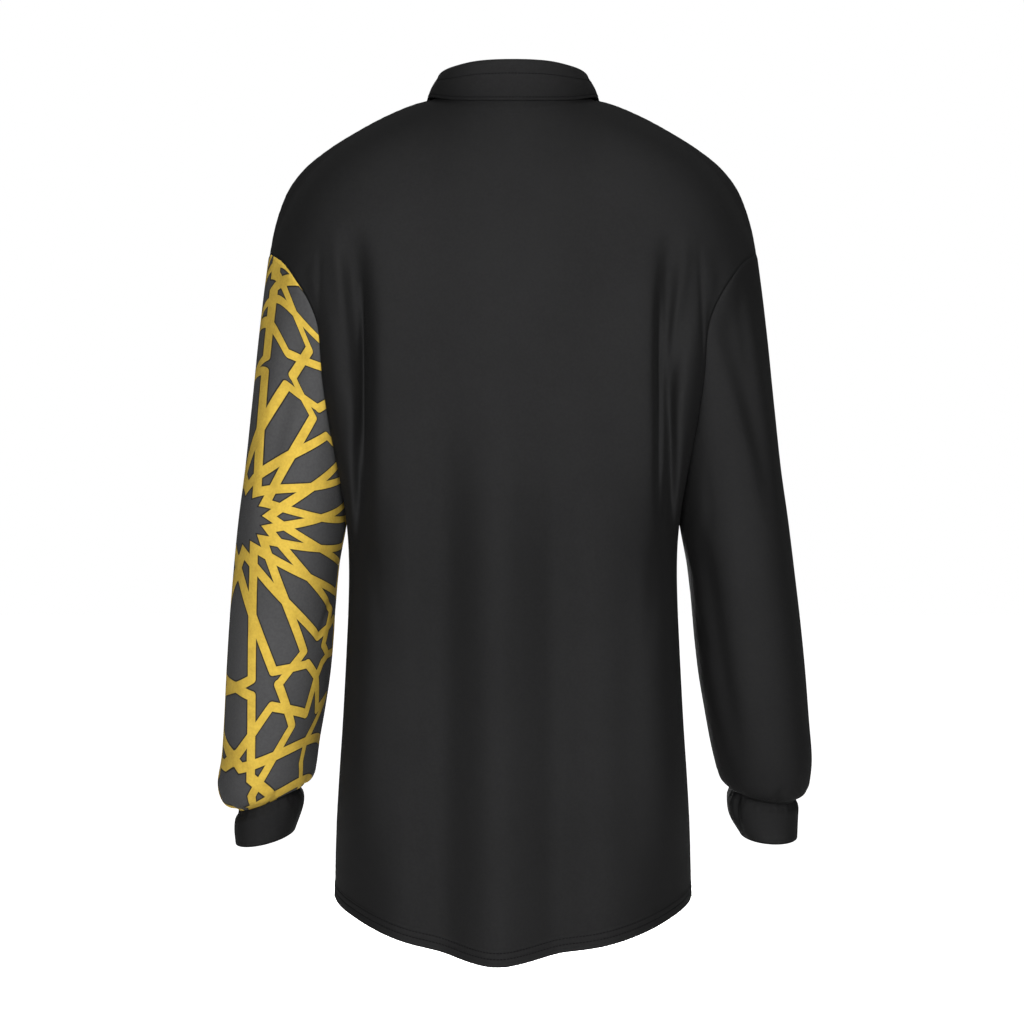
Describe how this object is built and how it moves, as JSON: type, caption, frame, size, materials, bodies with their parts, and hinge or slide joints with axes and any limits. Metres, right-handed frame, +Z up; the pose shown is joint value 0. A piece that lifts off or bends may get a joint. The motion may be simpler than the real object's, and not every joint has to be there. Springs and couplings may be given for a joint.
{
  "type": "polo shirt",
  "caption": "Long-sleeved polo shirt, worn shape: fold-down collar, buttoned placket, banded cuffs, shirt-tail hem and a star-lattice print on the left sleeve.",
  "frame": {"origin": "midway between the high shoulder points, where the wearer's shoulders carry the shirt", "axes": "+Z up, the shirt's front faces -Y and the wearer's left arm is at +X"},
  "size_m": [0.5726, 0.2584, 0.8184],
  "materials": {
    "black_knit": "matt black cotton knit",
    "cuff_knit": "matt black double knit",
    "collar_knit": "matt black double knit",
    "printed_knit": "dark grey cotton knit with a gold star lattice",
    "button": "black, half gloss"
  },
  "bodies": {
    "root": {"back": "black_knit", "front": "black_knit", "sleeve_left": "printed_knit", "sleeve_right": "black_knit", "cuff_left": "cuff_knit", "cuff_right": "cuff_knit", "collar_stand": "collar_knit", "collar_fall": "collar_knit", "placket": "black_knit", "button_1": "button", "button_2": "button", "button_3": "button"}
  },
  "joints": []
}
